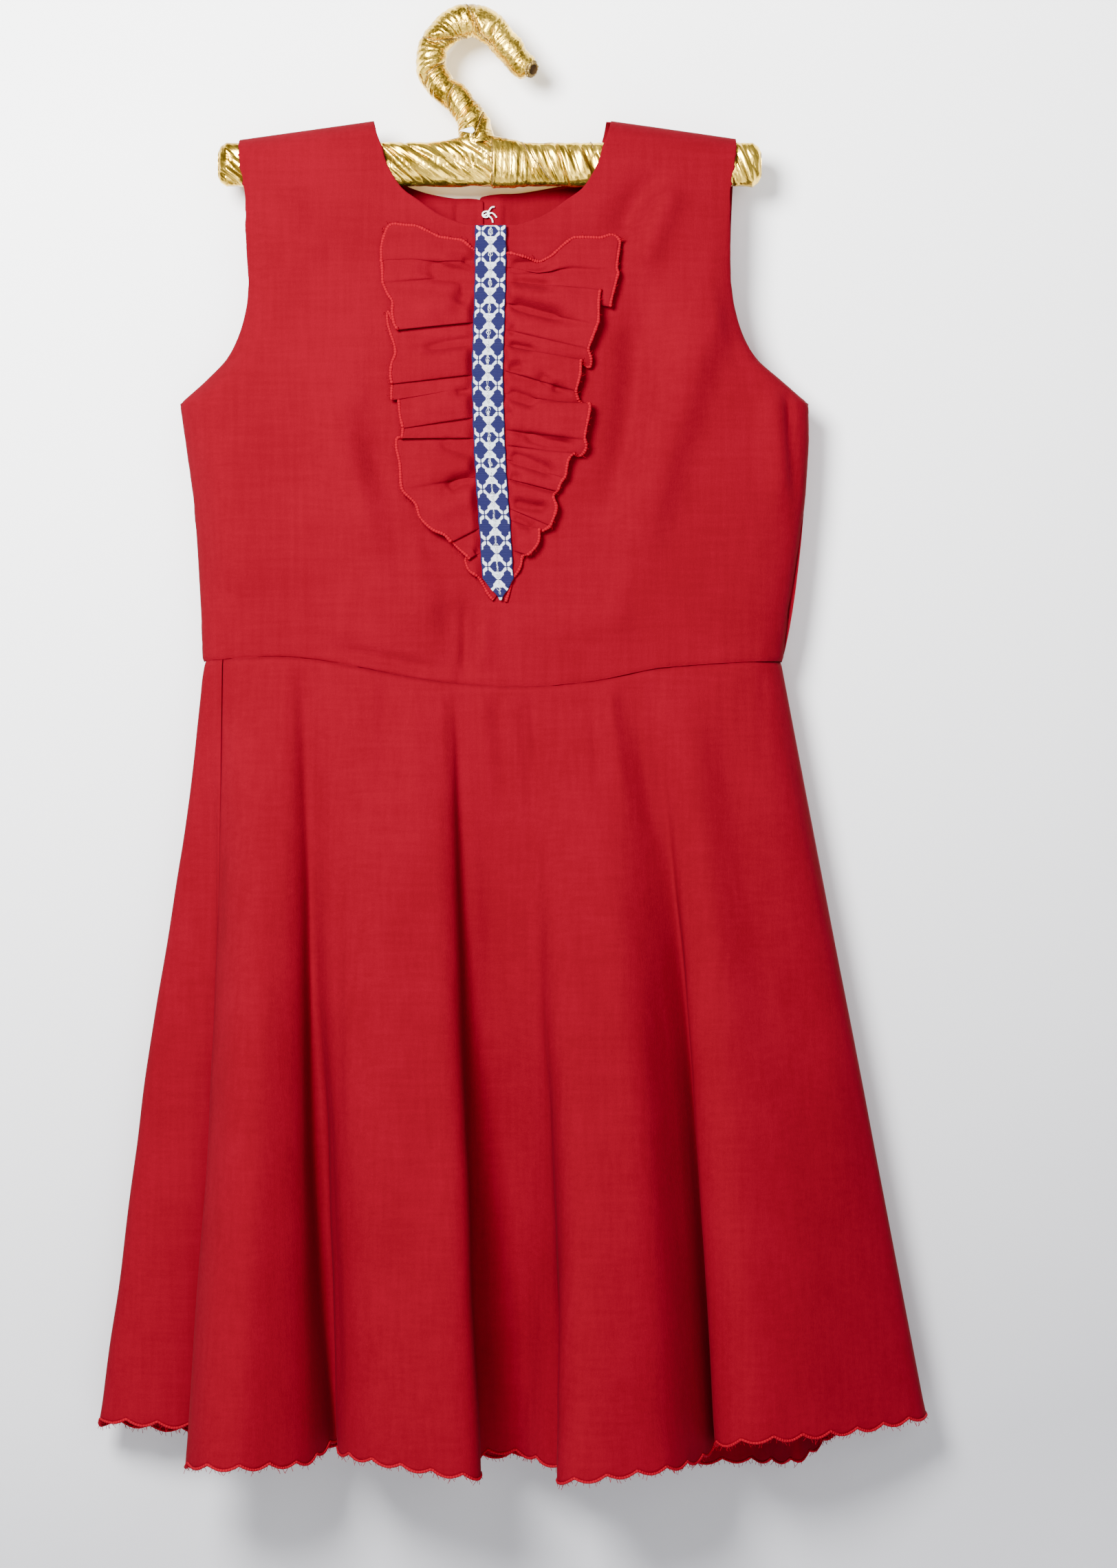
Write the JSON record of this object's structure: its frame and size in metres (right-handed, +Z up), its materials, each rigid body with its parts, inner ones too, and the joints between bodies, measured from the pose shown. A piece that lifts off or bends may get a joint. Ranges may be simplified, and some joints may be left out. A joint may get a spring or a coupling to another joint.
{
  "type": "sleeveless folk dress on a wrapped hanger",
  "caption": "Child's sleeveless folk dress with a gathered jabot, ribbon trim and flared scalloped skirt, hanging on a cloth-wrapped hanger.",
  "frame": {"origin": "the underside of the hook's top arc, where a rail carries the hanger", "axes": "+Z up along the hang, -Y towards the viewer of the dress's front, +X to that viewer's right"},
  "size_m": [0.427, 0.0867, 0.7566],
  "materials": {
    "red_cloth": "matt woven cotton with a slight nap",
    "woven_ribbon": "ribbed woven ribbon, white lattice on navy",
    "white_thread": "matt cotton thread",
    "gold_wrapping": "shiny metallic cloth, tightly wound and creased"
  },
  "bodies": {
    "root": {"bodice_front": "red_cloth", "bodice_back_left": "red_cloth", "bodice_back_right": "red_cloth", "skirt_front": "red_cloth", "skirt_back": "red_cloth", "ruffle_left": "red_cloth", "ruffle_right": "red_cloth", "ribbon_trim": "woven_ribbon", "neck_tie": "white_thread", "hanger_bar": "gold_wrapping", "hanger_hook": "gold_wrapping"}
  },
  "joints": []
}
